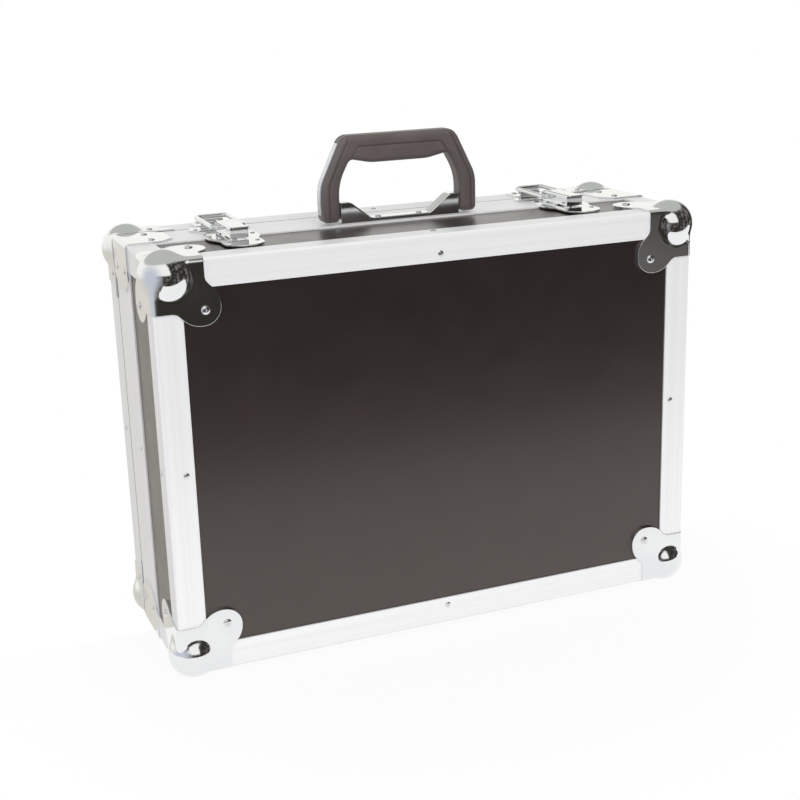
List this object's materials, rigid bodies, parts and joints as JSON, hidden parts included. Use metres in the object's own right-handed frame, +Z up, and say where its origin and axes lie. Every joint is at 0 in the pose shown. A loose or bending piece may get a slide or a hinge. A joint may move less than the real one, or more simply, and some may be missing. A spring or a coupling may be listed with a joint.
{
  "type": "flight case",
  "caption": "Foam-lined flight case with dark film-faced panels, aluminium edges, chrome ball corners, hinged lid, draw latches and a folding handle.",
  "frame": {"origin": "centre of the footprint, on the surface that the ball corners stand on", "axes": "+X across the case to the right seen from the front, +Y from the base's panel to the lid, +Z up to the handle"},
  "size_m": [0.494, 0.179, 0.4275],
  "materials": {
    "panel": "satin",
    "aluminium": "satin",
    "chrome": "polished",
    "steel": "satin",
    "foam": "matte",
    "grip": "satin"
  },
  "bodies": {
    "base": {"base_front_panel": "panel", "base_top_panel": "panel", "base_bottom_panel": "panel", "base_left_panel": "panel", "base_right_panel": "panel", "base_front_edge_top": "aluminium", "base_front_edge_bottom": "aluminium", "base_front_edge_left": "aluminium", "base_front_edge_right": "aluminium", "base_depth_edges": "aluminium", "base_rim_top": "aluminium", "base_rim_bottom": "aluminium", "base_rim_left": "aluminium", "base_rim_right": "aluminium", "base_ball_corners": "chrome", "base_corner_braces": "chrome", "base_foam_floor": "foam", "base_foam_wall_top": "foam", "base_foam_wall_bottom": "foam", "base_foam_wall_left": "foam", "base_foam_wall_right": "foam", "latch_plate_left": "chrome", "latch_plate_right": "chrome", "latch_lever_pins": "steel", "handle_bracket": "chrome", "handle_pivot_pins": "steel", "hinge_base_leaf_left": "chrome", "hinge_base_leaf_right": "chrome", "hinge_pins": "steel"},
    "lid": {"lid_panel": "panel", "lid_top_wall": "panel", "lid_bottom_wall": "panel", "lid_left_wall": "panel", "lid_right_wall": "panel", "lid_edge_top": "aluminium", "lid_edge_bottom": "aluminium", "lid_edge_left": "aluminium", "lid_edge_right": "aluminium", "lid_rim_top": "aluminium", "lid_rim_bottom": "aluminium", "lid_rim_left": "aluminium", "lid_rim_right": "aluminium", "lid_ball_corners": "chrome", "lid_foam": "foam", "latch_keeper_left": "chrome", "latch_keeper_right": "chrome", "hinge_lid_leaf_left": "chrome", "hinge_lid_leaf_right": "chrome"},
    "lever_left": {"latch_lever_left": "chrome"},
    "bail_left": {"latch_bail_left": "chrome"},
    "lever_right": {"latch_lever_right": "chrome"},
    "bail_right": {"latch_bail_right": "chrome"},
    "handle": {"handle_grip": "grip", "handle_trim": "chrome"}
  },
  "joints": [
    {"name": "lid_hinge", "type": "hinge", "parent": "base", "child": "lid", "pos_m": [0, 0.0506, 0.0043], "axis": [-1, 0, 0], "range_deg": [0, 105]},
    {"name": "lever_left_hinge", "type": "hinge", "parent": "base", "child": "lever_left", "pos_m": [-0.1535, 0.0135, 0.36], "axis": [-1, 0, 0], "range_deg": [0, 150]},
    {"name": "bail_left_hinge", "type": "hinge", "parent": "lever_left", "child": "bail_left", "pos_m": [-0.1535, 0.0015, 0.3605], "axis": [-1, 0, 0], "range_deg": [-173, 0]},
    {"name": "lever_right_hinge", "type": "hinge", "parent": "base", "child": "lever_right", "pos_m": [0.1535, 0.0135, 0.36], "axis": [-1, 0, 0], "range_deg": [0, 150]},
    {"name": "bail_right_hinge", "type": "hinge", "parent": "lever_right", "child": "bail_right", "pos_m": [0.1535, 0.0015, 0.3605], "axis": [-1, 0, 0], "range_deg": [-173, 0]},
    {"name": "handle_hinge", "type": "hinge", "parent": "base", "child": "handle", "pos_m": [0, 0.007, 0.366], "axis": [1, 0, 0], "range_deg": [-90, 90]}
  ],
  "couplings": [
    {"joint": "bail_left_hinge", "follows": "lever_left_hinge", "ratio": -1.15},
    {"joint": "bail_right_hinge", "follows": "lever_right_hinge", "ratio": -1.15}
  ]
}
